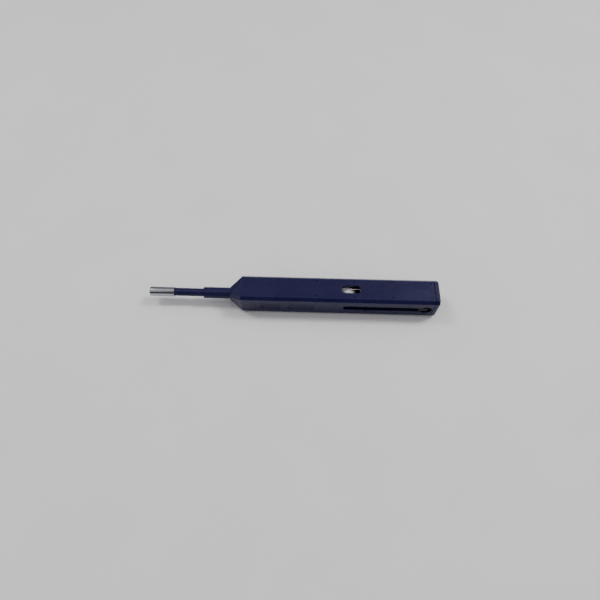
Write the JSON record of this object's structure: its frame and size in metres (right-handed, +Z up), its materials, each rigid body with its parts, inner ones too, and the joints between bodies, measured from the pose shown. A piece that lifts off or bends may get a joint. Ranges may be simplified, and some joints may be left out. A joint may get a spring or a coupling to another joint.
{
  "type": "fiber connector cleaning pen",
  "caption": "Slim rectangular push-to-clean pen with a stepped round nozzle, a polished steel guide sleeve, a thread window and a side slot with a release button.",
  "frame": {"origin": "centre of the footprint of the pen lying flat, at the height of its underside", "axes": "+X from the nozzle to the rear cap, +Z up through the window, the slot and its button on the -Y side"},
  "size_m": [0.1962, 0.0186, 0.0195],
  "materials": {
    "navy_plastic": "fine matt moulding texture",
    "dark_plastic": "satin",
    "black_plastic": "satin",
    "polished_steel": "polished",
    "spring_steel": "satin",
    "ivory_plastic": "satin",
    "white_tip": "satin",
    "white_thread": "woven",
    "brass": "satin"
  },
  "bodies": {
    "housing": {"upper_shell": "navy_plastic", "lower_shell": "navy_plastic", "end_cap": "navy_plastic"},
    "tray": {"inner_case": "black_plastic", "feed_rack": "ivory_plastic", "cam_pin": "spring_steel", "button_spring": "spring_steel"},
    "carriage": {"carriage_frame": "dark_plastic", "nozzle_barrel": "navy_plastic", "nozzle_tube": "navy_plastic", "steel_sleeve": "polished_steel", "supply_axle": "spring_steel", "takeup_axle": "spring_steel", "supply_brake_washer": "brass", "fresh_guide_pin": "spring_steel", "used_guide_pin": "spring_steel", "takeup_guide_pin": "spring_steel", "fresh_thread": "white_thread", "used_thread": "white_thread", "backstop_pawl": "spring_steel", "spring_guide_rod": "ivory_plastic", "return_spring": "spring_steel"},
    "supply_reel": {"supply_spool": "black_plastic", "supply_thread_roll": "white_thread"},
    "takeup_reel": {"takeup_spool": "black_plastic", "takeup_thread_roll": "white_thread", "takeup_gear": "ivory_plastic"},
    "rotor": {"rotor_shaft": "spring_steel", "helix_cam": "ivory_plastic", "tip_holder": "ivory_plastic", "cleaning_tip": "white_tip", "tip_thread": "white_thread"},
    "button": {"slide_button": "black_plastic"}
  },
  "joints": [
    {"name": "nozzle_extend", "type": "slide", "parent": "housing", "child": "tray", "axis": [-1, 0, 0], "range_m": [0, 0.0404]},
    {"name": "push_stroke", "type": "slide", "parent": "tray", "child": "carriage", "axis": [1, 0, 0], "range_m": [0, 0.012], "stiffness_N_per_m": 120, "springref_m": -0.01, "deforming": ["return_spring"]},
    {"name": "takeup_spin", "type": "hinge", "parent": "carriage", "child": "takeup_reel", "pos_m": [0.0534, 0, 0.00975], "axis": [0, 1, 0], "range_deg": [0, 172]},
    {"name": "supply_spin", "type": "hinge", "parent": "carriage", "child": "supply_reel", "pos_m": [0.0375, 0, 0.00975], "axis": [0, 1, 0], "range_deg": [0, 94]},
    {"name": "rotor_spin", "type": "hinge", "parent": "carriage", "child": "rotor", "pos_m": [0, 0, 0.00975], "axis": [1, 0, 0], "range_deg": [0, 180.1]},
    {"name": "button_press", "type": "slide", "parent": "tray", "child": "button", "axis": [0, 1, 0], "range_m": [0, 0.0007], "stiffness_N_per_m": 400, "springref_m": -0.001, "deforming": ["button_spring"]}
  ],
  "couplings": [
    {"joint": "takeup_spin", "follows": "push_stroke", "rad_per_m": 250},
    {"joint": "supply_spin", "follows": "push_stroke", "rad_per_m": 135.59},
    {"joint": "rotor_spin", "follows": "push_stroke", "rad_per_m": 261.8}
  ]
}
